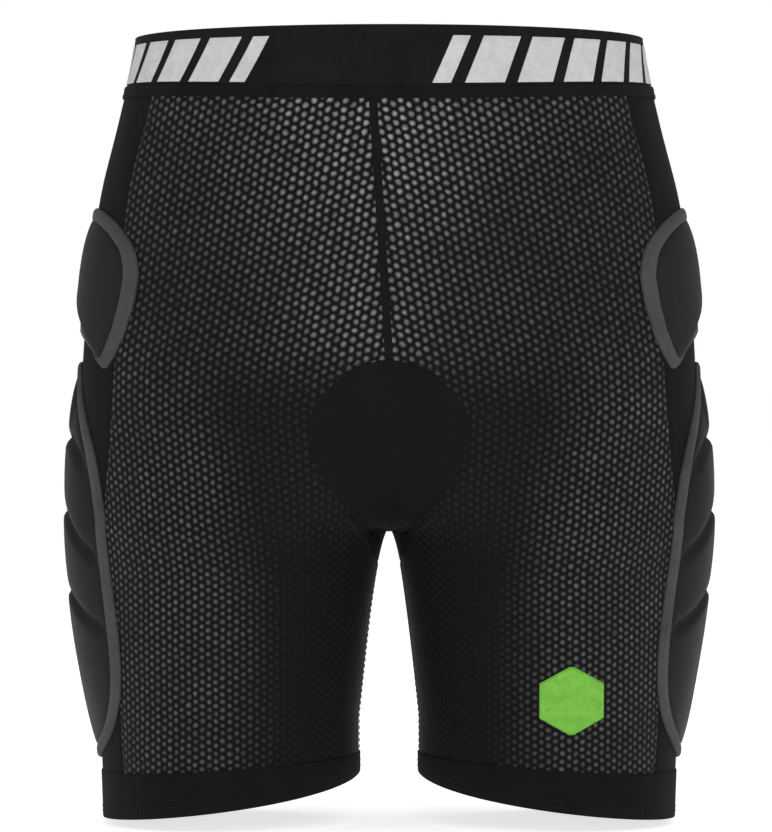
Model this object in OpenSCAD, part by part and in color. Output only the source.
// Padded impact shorts: stretch mesh shorts with a wide elastic waistband and
// foam pads in bound covers over the hips, the outer thighs and the tailbone.
// Frame: +Z up, the front faces -Y, +X is the wearer's left.
// The origin is the centre of the waist opening, level with its rim.
// All sizes are in millimetres.

/* [Fabric] */
// Thickness of the mesh and side panels
fabric_t = 1.6; // [1.2:0.1:2.4]
// Thickness of the waist elastic and of the leg hems
elastic_t = 2.2; // [1.6:0.1:3]
// Thickness of the soft lining inside the crotch gusset
lining_t = 3; // [2:0.5:5]

/* [Waist] */
// Height of the waist elastic at the centre front and back
band_h = 38.5; // [34:0.5:44]
// How much lower the elastic is at the two sides
band_side_cut = 7; // [0:0.5:9]
// Width of the strip that joins the elastic to the panels
strip_w = 7; // [5:0.5:10]
// Sideways lean of the front seam, measured at the waist
seam_lean = 10; // [0:1:14]
// Width of the flat seam tapes
tape_w = 5; // [4:0.5:7]
// Thickness of the flat seam tapes
tape_t = 0.6; // [0.4:0.1:1]

/* [Legs] */
// Depth of the crotch point below the waist rim
crotch_z = -304; // [-320:1:-290]
// Height over which the legs merge into the seat
crotch_rise = 150; // [130:1:160]
// Half of the gap between the legs, low down
leg_gap = 18.5; // [10:0.5:24]
// Depth of the side seams in front of the middle
seam_front_y = 50; // [46:1:56]
// Depth of the side seams behind the middle
seam_rear_y = 62; // [56:1:66]

/* [Pads] */
// Height of the hip pads over the fabric
hip_pad_h = 7.6; // [5:0.2:12]
// Height of the thigh pads over the fabric
thigh_pad_h = 11; // [8:0.2:16]
// Height of the tailbone pad over the fabric
tail_pad_h = 7; // [5:0.2:12]
// Thickness of the pad covers
cover_t = 0.9; // [0.6:0.1:1.4]
// Width of the binding round a pad
binding_w = 8.5; // [6:0.5:10]
// Height of the binding over the fabric
binding_h = 3.2; // [2:0.2:4]

/* [Hidden] */

// The body of the garment at stations every station_step down from the rim
station_step = 50;
half_widths = [157, 167, 179.5, 185.5, 189.5, 190.5, 189.5, 185.5, 180.5, 177.5, 176];
front_depths = [104, 107, 109, 107, 103, 99.5, 97, 93, 88, 84, 81];
rear_depths = [106, 113, 122, 128, 128, 120, 109, 99, 91, 85.5, 82];

// How fast the two legs part: above the crotch point, and below it
merge_power = 1.7;
gap_power = 0.62;
gap_run = 115;
// Rise of the groin line for each millimetre out from the middle
groin_slope = 0.631;

// Top and bottom edges of a hem, at its inner side and then their fall to the outside
hem_top = -441;
hem_top_fall = 11;
hem_bottom = -453;
hem_bottom_fall = 28;
hem_bottom_power = 0.6;

// Rows of the fabric grids, as heights along the inner edge of the front panels
body_rows = [-38.5, -58, -80, -102, -124, -144, -164, -184, -200, -203, -209, -217, -229, -243, -264, -286];
thigh_rows = [-286, -300, -311, -319, -324, -343, -363, -383, -403, -422, -441];
panel_columns = 8;
side_columns = 8;
// Edge of the crotch gusset: height, then distance out from the inner edge
gusset_edge = [
    [-324, 0], [-319, 3.2], [-311, 8.5], [-300, 17.5], [-286, 28], [-264, 43], [-243, 50],
    [-229, 45], [-217, 36], [-209, 26], [-203, 14], [-200, 0]
];
// Rows of the gusset: height at the centre line, then height at its edge
gusset_rows = [
    [-200, -203], [-209, -209], [-219, -217], [-230, -229], [-244, -243], [-260, -264],
    [-276, -286], [-291, -300], [-299, -310], [-303, -316], [-304, -320]
];
gusset_columns = 5;
// Shares of their opening that the gusset and its lining fill, to stay clear of the panels
gusset_share = 0.965;
lining_share = 0.91;
gusset_top = -200;

// Outlines of the pads: height, then the front and the rear edge (for the
// tailbone pad, the right and the left edge)
hip_outline = [
    [-105, -6, 6], [-106.5, -19, 17], [-109, -30, 26], [-113, -39, 34], [-118, -47, 40], [-130, -57.5, 46],
    [-146, -61.5, 48], [-160, -60.5, 45], [-170, -59, 34], [-176, -57.5, 20], [-181, -56.5, 4],
    [-185, -55.5, -12], [-190, -53.5, -25], [-197, -50.5, -36], [-204, -46, -42]
];
thigh_outline = [
    [-200, -3, 5], [-212, -9, 18], [-226, -18, 31], [-243, -30, 43], [-261, -40, 51],
    [-280, -48, 56], [-300, -55, 59], [-332, -58, 60], [-366, -59, 58], [-395, -56, 54],
    [-414, -50, 47], [-428, -40, 37], [-438, -26, 24], [-444, -10, 8]
];
tail_outline = [
    [-92, -16, 16], [-97, -31, 31], [-108, -41, 41], [-128, -45, 45], [-150, -41, 41],
    [-172, -32, 32], [-190, -20, 20], [-200, -8, 8]
];
pad_columns = 8;
// Clear gap between neighbouring pieces of cloth, and under the strip, tapes and prints
cloth_gap = 0.3;
trim_lift = 0.4;
pad_lift = 0.7;
foam_inset = 4;
lining_gap = 0.8;

// Printed blocks on the waistband: start angle, width, top and bottom as parts of the
// print, whose own top and bottom are parts of the band's height
print_top = 0.14;
print_bottom = 0.84;
print_slant = 5;
print_t = 0.4;
left_blocks = [
    [104, 4, 0, 1], [111, 9, 0, 1], [123, 9, 0, 1], [135, 9, 0, 1], [147, 9, 0, 1], [159, 9, 0, 1],
    [171, 9, 0, 1], [183, 4, 0, 1]
];
right_blocks = [
    [-8, 4, 0, 1], [-1, 9, 0, 1], [11, 9, 0, 1], [23, 9, 0, 1], [35, 9, 0, 1], [47, 9, 0, 1], [59, 4, 0, 1]
];
print_columns = 3;

// Badge on the front of the left thigh: height, then its left and right edge
badge_outline = [
    [-384, 108, 111], [-389, 99, 120], [-394, 90, 129], [-415, 90, 129], [-420, 99, 120], [-425, 108, 111]
];
badge_t = 0.8;

skin_black = [0.07, 0.07, 0.075];
mesh_black = [0.11, 0.11, 0.12];
print_grey = [0.78, 0.78, 0.78];
binding_grey = [0.3, 0.3, 0.31];
cover_grey = [0.16, 0.16, 0.17];
foam_grey = [0.4, 0.4, 0.42];
badge_green = [0.42, 0.78, 0.22];

// ---- the garment's surface ----

function mix_to(a, b, t) = a + (b - a) * t;
function unit(v) = v / norm(v);
function spline(a, b, c, d, t) =
    (2 * b + (c - a) * t + (2 * a - 5 * b + 4 * c - d) * t * t + (3 * b - a - 3 * c + d) * t * t * t) / 2;

// Value of a station list at the height z
function at_height(list, z) =
    let (last = len(list) - 1)
    let (i = max(0, min(last - 1, floor(-z / station_step))))
    let (t = -z / station_step - i)
    spline(list[max(i - 1, 0)], list[i], list[i + 1], list[min(i + 2, last)], t);

function half_w(z) = at_height(half_widths, z);
function gap(z) = leg_gap * pow(min(max(crotch_z - z, 0) / gap_run, 1), gap_power);
function merge(z) = pow(max(0, 1 - (z - crotch_z) / crotch_rise), merge_power);
// Each leg's section is an ellipse: its centre and half width
function centre_x(z) = z < crotch_z ? (half_w(z) + gap(z)) / 2 : half_w(z) / 2 * merge(z);
function radius_x(z) = half_w(z) - centre_x(z);
function radius_y(z, phi) = sin(phi) >= 0 ? at_height(front_depths, z) : at_height(rear_depths, z);

// Point of the left half at height z and angle phi: 0 faces the other leg, 90
// the front, 180 the side and 270 the rear
function cloth_point(z, phi) = [centre_x(z) - radius_x(z) * cos(phi), -radius_y(z, phi) * sin(phi), z];
function normal(z, phi) = unit(cross(
    cloth_point(z, phi + 0.5) - cloth_point(z, phi - 0.5),
    cloth_point(z + 0.5, phi) - cloth_point(z - 0.5, phi)));
function skin(z, phi, h) = cloth_point(z, phi) + h * normal(z, phi);

// Angles of points given by their side view, front view and rear view
function angle_from_x(z, x) = acos(max(-1, min(1, (centre_x(z) - x) / radius_x(z))));
function angle_from_y(z, y) = 180 + asin(y / radius_y(z, y < 0 ? 90 : 270));

// ---- edges of the panels ----

function seam_x(z) = -seam_lean * (z - gusset_top) / (-band_h - gusset_top);
function inner_x(z, lean) = z >= gusset_top
    ? lean * seam_x(z)
    : gap(z) + lookup(z, gusset_edge);
function inner_angle(z, lean) = angle_from_x(z, inner_x(z, lean));
// Edges in turn: front inner edge, front side seam, rear side seam, rear inner edge
function edge_angle(edge, z, lean) =
    edge == 0 ? inner_angle(z, lean)
    : edge == 1 ? angle_from_y(z, -seam_front_y)
    : edge == 2 ? angle_from_y(z, seam_rear_y)
    : 360 - inner_angle(z, 0);
function column_angle(edge, z, w, lean) =
    mix_to(edge_angle(edge, z, lean), edge_angle(edge + 1, z, lean), w);

function band_bottom(phi) = -band_h + band_side_cut * pow(cos(phi), 2);
function hem_part(phi) = (1 - cos(phi)) / 2;
function hem_top_at(phi) = hem_top - hem_top_fall * hem_part(phi);
function hem_bottom_at(phi) = hem_bottom - hem_bottom_fall * pow(hem_part(phi), hem_bottom_power);

// Height of the groin line on one column of a panel, found in a few steps
function groin_z(edge, w, lean, z = -240, steps = 6) =
    steps == 0 ? z
    : let (x = cloth_point(z, column_angle(edge, z, w, lean))[0])
        groin_z(edge, w, lean, crotch_z + groin_slope * x, steps - 1);

function body_z(edge, w, lean, part) =
    mix_to(band_bottom(column_angle(edge, -band_h, w, lean)) - cloth_gap, groin_z(edge, w, lean), part);
function thigh_z(edge, w, part) =
    mix_to(groin_z(edge, w, 0) - cloth_gap, hem_top_at(column_angle(edge, hem_top, w, 0)), part);

function row_parts(rows) = [for (z = rows) (z - rows[0]) / (rows[len(rows) - 1] - rows[0])];

// ---- solids from two grids of points ----

// A four-sided cell cut along the diagonal from its first corner, or along the other one
function two_triangles(a, b, c, d, from_first) =
    from_first ? [[a, b, c], [a, c, d]] : [[a, b, d], [b, c, d]];

// Closed solid between an outer and an inner grid; a ring joins its first and last column.
// Each cell is cut along its shorter diagonal.
module slab(outer, inner, ring = false) {
    rows = len(outer);
    cols = len(outer[0]);
    spans = ring ? cols : cols - 1;
    o = [for (j = [0 : rows - 1]) [for (i = [0 : spans]) j * cols + i % cols]];
    n = [for (row = o) [for (k = row) rows * cols + k]];
    last = rows - 1;
    skins = [for (j = [0 : last - 1]) for (i = [0 : spans - 1])
        let (k = (i + 1) % cols)
        let (falling = norm(outer[j][i] - outer[j + 1][k]) <= norm(outer[j][k] - outer[j + 1][i]))
        each concat(
            two_triangles(o[j][i], o[j][i + 1], o[j + 1][i + 1], o[j + 1][i], falling),
            two_triangles(n[j][i], n[j + 1][i], n[j + 1][i + 1], n[j][i + 1], falling))];
    ends = [for (i = [0 : spans - 1]) each [
        [n[0][i], n[0][i + 1], o[0][i]], [n[0][i + 1], o[0][i + 1], o[0][i]],
        [o[last][i], o[last][i + 1], n[last][i + 1]], [o[last][i], n[last][i + 1], n[last][i]]]];
    sides = ring ? [] : [for (j = [0 : last - 1]) each [
        [o[j][0], o[j + 1][0], n[j + 1][0]], [o[j][0], n[j + 1][0], n[j][0]],
        [o[j + 1][spans], o[j][spans], n[j + 1][spans]], [o[j][spans], n[j][spans], n[j + 1][spans]]]];
    polyhedron(
        points = concat([for (row = outer) each row], [for (row = inner) each row]),
        faces = concat(skins, ends, sides),
        convexity = 6);
}

// Closed band swept through a loop of equal sections
module loop_sweep(sections) {
    count = len(sections);
    size = len(sections[0]);
    faces = [for (k = [0 : count - 1]) for (m = [0 : size - 1])
        let (a = k * size, b = (k + 1) % count * size, m2 = (m + 1) % size)
        each [[a + m, b + m, b + m2], [a + m, b + m2, a + m2]]];
    polyhedron(points = [for (s = sections) each s], faces = faces, convexity = 8);
}

// Slab over a grid of [height, angle] pairs, from h_in to h_out above the surface
module skin_slab(grid, h_in, h_out, ring = false) {
    slab(
        [for (row = grid) [for (p = row) skin(p[0], p[1], h_out)]],
        [for (row = grid) [for (p = row) skin(p[0], p[1], h_in)]],
        ring);
}

function body_grid(edge, columns, lean) =
    [for (part = row_parts(body_rows)) [for (i = [0 : columns])
        let (w = i / columns, z = body_z(edge, w, lean, part))
        [z, column_angle(edge, z, w, lean)]]];
function thigh_grid(edge, columns) =
    [for (part = row_parts(thigh_rows)) [for (i = [0 : columns])
        let (w = i / columns, z = thigh_z(edge, w, part))
        [z, column_angle(edge, z, w, 0)]]];

// Gusset rows run down the front, under the crotch and up the rear
function gusset_row(row, turn, share) = [for (i = [0 : gusset_columns])
    let (e = i / gusset_columns, z = mix_to(row[0], row[1], e))
    let (start = angle_from_x(z, max(0, gap(z))))
    let (reach = inner_angle(row[1], 0) - angle_from_x(row[1], gap(row[1])))
    [z, turn * (start + e * reach * share)]];
function gusset_grid(share) = concat(
    [for (row = gusset_rows) gusset_row(row, 1, share)],
    [for (j = [len(gusset_rows) - 2 : -1 : 0]) gusset_row(gusset_rows[j], -1, share)]);

// ---- pads ----

// A point of a side pad lies at depth across, and one of the rear pad at that x
function side_point(across, z, h) = skin(z, angle_from_y(z, across), h);
function rear_point(across, z, h) =
    let (p = skin(z, 360 - angle_from_x(z, abs(across)), h))
    across < 0 ? [-p[0], p[1], p[2]] : p;
function pad_point(rear, across, z, h) = rear ? rear_point(across, z, h) : side_point(across, z, h);

// The outline drawn in by a margin, as a scaled copy about the pad's middle
function drawn_in(outline, margin) =
    let (top = outline[0][0], bottom = outline[len(outline) - 1][0])
    let (mid = (top + bottom) / 2, sz = 1 - 2 * margin / (top - bottom))
    let (sy = 1 - margin / max([for (row = outline) row[2]]))
    [for (row = outline) [mid + (row[0] - mid) * sz, row[1] * sy, row[2] * sy]];

function crown(q) = 1 - pow(abs(q), 3);
function pad_grid(outline, rear, low, high) =
    let (top = outline[0][0], bottom = outline[len(outline) - 1][0])
    [for (row = outline) [for (i = [0 : pad_columns])
        let (u = i / pad_columns, v = (row[0] - top) / (bottom - top))
        pad_point(rear, mix_to(row[1], row[2], u), row[0],
            low + (high - low) * crown(2 * u - 1) * crown(2 * v - 1))]];

module pad_cover(outline, rear, h) {
    rows = drawn_in(outline, binding_w);
    slab(
        pad_grid(rows, rear, pad_lift + cover_t, h),
        pad_grid(rows, rear, pad_lift, h - cover_t));
}

module pad_foam(outline, rear, h) {
    rows = drawn_in(outline, binding_w + foam_inset);
    slab(
        pad_grid(rows, rear, pad_lift + cover_t, h - 2 * cover_t),
        pad_grid(rows, rear, pad_lift, pad_lift));
}

function outline_loop(rows) = concat(
    [for (row = rows) [row[1], row[0]]],
    [for (j = [len(rows) - 1 : -1 : 0]) [rows[j][2], rows[j][0]]]);

module pad_binding(outline, rear) {
    outer = outline_loop(outline);
    inner = outline_loop(drawn_in(outline, binding_w));
    edge_h = pad_lift + cover_t;
    profile = [[0, pad_lift], [0, edge_h], [0.3, binding_h], [0.7, binding_h], [1, edge_h], [1, pad_lift]];
    loop_sweep([for (k = [0 : len(outer) - 1]) [for (q = profile)
        let (p = mix_to(outer[k], inner[k], q[0]))
        pad_point(rear, p[0], p[1], q[1])]]);
}

// ---- sub-parts ----

module waistband() {
    turns = [0 : 6 : 354];
    rim = [for (phi = turns) [0, phi]];
    middle = [for (phi = turns) [band_bottom(phi) / 2, phi]];
    low = [for (phi = turns) [band_bottom(phi), phi]];
    color(skin_black) skin_slab([rim, middle, low], -elastic_t, 0, true);
}

module waist_strip() {
    turns = [0 : 6 : 354];
    grid = [for (z = [1, 1 - strip_w]) [for (phi = turns) [band_bottom(phi) + z, phi]]];
    color(skin_black) skin_slab(grid, trim_lift, trim_lift + 0.8, true);
}

module waist_print(blocks) {
    color(print_grey) for (b = blocks)
        skin_slab(
            [for (v = [b[2], b[3]]) [for (i = [0 : print_columns])
                let (phi = b[0] + b[1] * i / print_columns - print_slant * v)
                [band_bottom(phi) * mix_to(print_top, print_bottom, v), phi]]],
            trim_lift, trim_lift + print_t);
}

module front_seam_tape() {
    grid = [for (j = [0 : 8])
        let (z = mix_to(-band_h - strip_w, gusset_top, j / 8))
        [for (x = [seam_x(z) - tape_w / 2, seam_x(z) + tape_w / 2])
            [z, angle_from_x(z, abs(x)), x < 0 ? -1 : 1]]];
    function side_skin(p, h) = let (q = skin(p[0], p[1], h)) [p[2] * q[0], q[1], q[2]];
    color(skin_black) slab(
        [for (row = grid) [for (p = row) side_skin(p, trim_lift + tape_t)]],
        [for (row = grid) [for (p = row) side_skin(p, trim_lift)]]);
}

module rear_seam_tape() {
    rows = [for (j = [0 : 3]) mix_to(-band_h - strip_w, tail_outline[0][0] + 1, j / 3)];
    color(skin_black) slab(
        [for (z = rows) [for (x = [tape_w / 2, -tape_w / 2]) rear_point(x, z, trim_lift + tape_t)]],
        [for (z = rows) [for (x = [tape_w / 2, -tape_w / 2]) rear_point(x, z, trim_lift)]]);
}

module front_body(lean) { color(mesh_black) skin_slab(body_grid(0, panel_columns, lean), -fabric_t, 0); }
module side_body() { color(skin_black) skin_slab(body_grid(1, side_columns, 0), -fabric_t, 0); }
module rear_body() { color(mesh_black) skin_slab(body_grid(2, panel_columns, 0), -fabric_t, 0); }
module front_thigh() { color(mesh_black) skin_slab(thigh_grid(0, panel_columns), -fabric_t, 0); }
module side_thigh() { color(skin_black) skin_slab(thigh_grid(1, side_columns), -fabric_t, 0); }
module rear_thigh() { color(mesh_black) skin_slab(thigh_grid(2, panel_columns), -fabric_t, 0); }
module gusset() { color(skin_black) skin_slab(gusset_grid(gusset_share), -fabric_t, 0); }

module gusset_lining() {
    h = -fabric_t - lining_gap;
    color(foam_grey) skin_slab(gusset_grid(lining_share), h - lining_t, h);
}

module hem() {
    turns = [0 : 10 : 350];
    grid = [for (part = [0, 0.5, 1]) [for (phi = turns)
        [mix_to(hem_top_at(phi) - cloth_gap, hem_bottom_at(phi), part), phi]]];
    color(skin_black) skin_slab(grid, -elastic_t, 0, true);
}

module thigh_badge() {
    grid = [for (row = badge_outline) [for (i = [0 : 4])
        [row[0], angle_from_x(row[0], mix_to(row[1], row[2], i / 4))]]];
    color(badge_green) skin_slab(grid, trim_lift, trim_lift + badge_t);
}

module hip_cover() { color(cover_grey) pad_cover(hip_outline, false, hip_pad_h); }
module hip_foam() { color(foam_grey) pad_foam(hip_outline, false, hip_pad_h); }
module hip_binding() { color(binding_grey) pad_binding(hip_outline, false); }
module thigh_cover() { color(cover_grey) pad_cover(thigh_outline, false, thigh_pad_h); }
module thigh_foam() { color(foam_grey) pad_foam(thigh_outline, false, thigh_pad_h); }
module thigh_binding() { color(binding_grey) pad_binding(thigh_outline, false); }
module tail_cover() { color(cover_grey) pad_cover(tail_outline, true, tail_pad_h); }
module tail_foam() { color(foam_grey) pad_foam(tail_outline, true, tail_pad_h); }
module tail_binding() { color(binding_grey) pad_binding(tail_outline, true); }

module right() { mirror([1, 0, 0]) children(); }

waistband();
waist_strip();
waist_print(left_blocks);  // waist_print_left
waist_print(right_blocks);  // waist_print_right
front_seam_tape();
rear_seam_tape();
front_body(1);  // front_body_left
right() front_body(-1);  // front_body_right
side_body();  // side_body_left
right() side_body();  // side_body_right
rear_body();  // rear_body_left
right() rear_body();  // rear_body_right
gusset();  // gusset_left
right() gusset();  // gusset_right
gusset_lining();  // gusset_lining_left
right() gusset_lining();  // gusset_lining_right
hip_foam();  // hip_pad_foam_left
right() hip_foam();  // hip_pad_foam_right
hip_cover();  // hip_pad_cover_left
right() hip_cover();  // hip_pad_cover_right
hip_binding();  // hip_pad_binding_left
right() hip_binding();  // hip_pad_binding_right
tail_foam();  // tail_pad_foam
tail_cover();  // tail_pad_cover
tail_binding();  // tail_pad_binding
front_thigh();  // front_thigh_left
right() front_thigh();  // front_thigh_right
side_thigh();  // side_thigh_left
right() side_thigh();  // side_thigh_right
rear_thigh();  // rear_thigh_left
right() rear_thigh();  // rear_thigh_right
thigh_foam();  // thigh_pad_foam_left
right() thigh_foam();  // thigh_pad_foam_right
thigh_cover();  // thigh_pad_cover_left
right() thigh_cover();  // thigh_pad_cover_right
thigh_binding();  // thigh_pad_binding_left
right() thigh_binding();  // thigh_pad_binding_right
hem();  // hem_left
right() hem();  // hem_right
thigh_badge();
